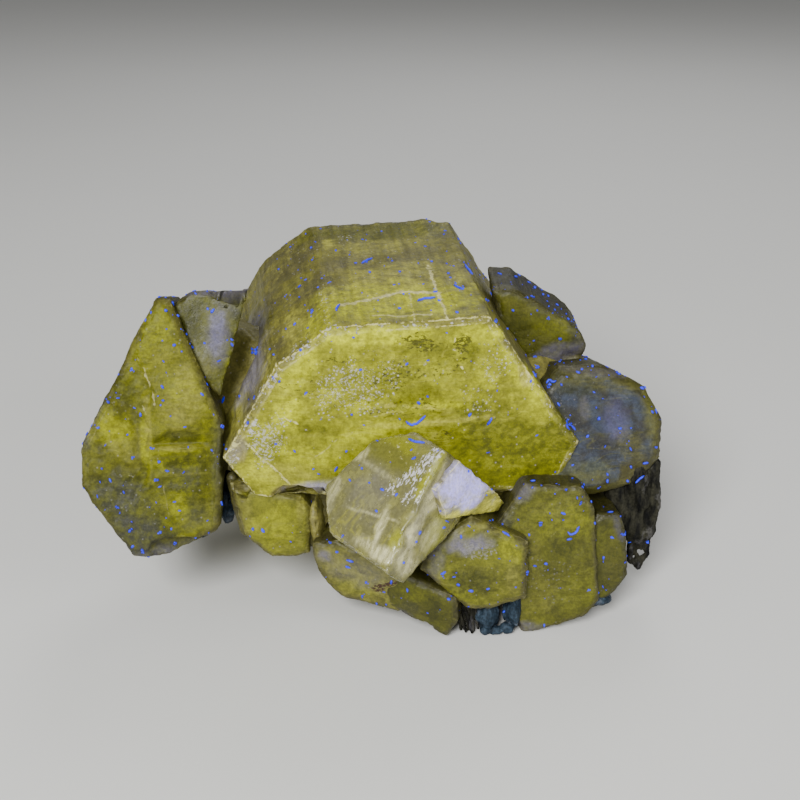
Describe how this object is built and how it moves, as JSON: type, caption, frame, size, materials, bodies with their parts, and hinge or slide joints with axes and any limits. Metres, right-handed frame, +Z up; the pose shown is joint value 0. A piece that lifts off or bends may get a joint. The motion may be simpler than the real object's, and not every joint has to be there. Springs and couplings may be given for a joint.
{
  "type": "apatite specimen",
  "caption": "Cluster of stubby hexagonal apatite prisms grown side by side, broken flat underneath, with remnants of grey matrix.",
  "frame": {"origin": "on the resting plane, under the middle of the specimen's bounding box", "axes": "+X to the right along the row of crystals, +Y away from the broad end faces, +Z up"},
  "size_m": [0.0478, 0.0388, 0.027],
  "materials": {
    "apatite": "yellow to olive, waxy to glassy faces, clouded inside",
    "matrix_grain": "dull blue-grey mineral grain",
    "matrix_crust": "dull dark grey-olive fibrous crust"
  },
  "bodies": {
    "root": {"apatite_crystals": "apatite", "matrix_crust": "matrix_crust", "matrix_grain_left": "matrix_grain", "matrix_grain_right": "matrix_grain", "matrix_grain_gap": "matrix_grain"}
  },
  "joints": []
}
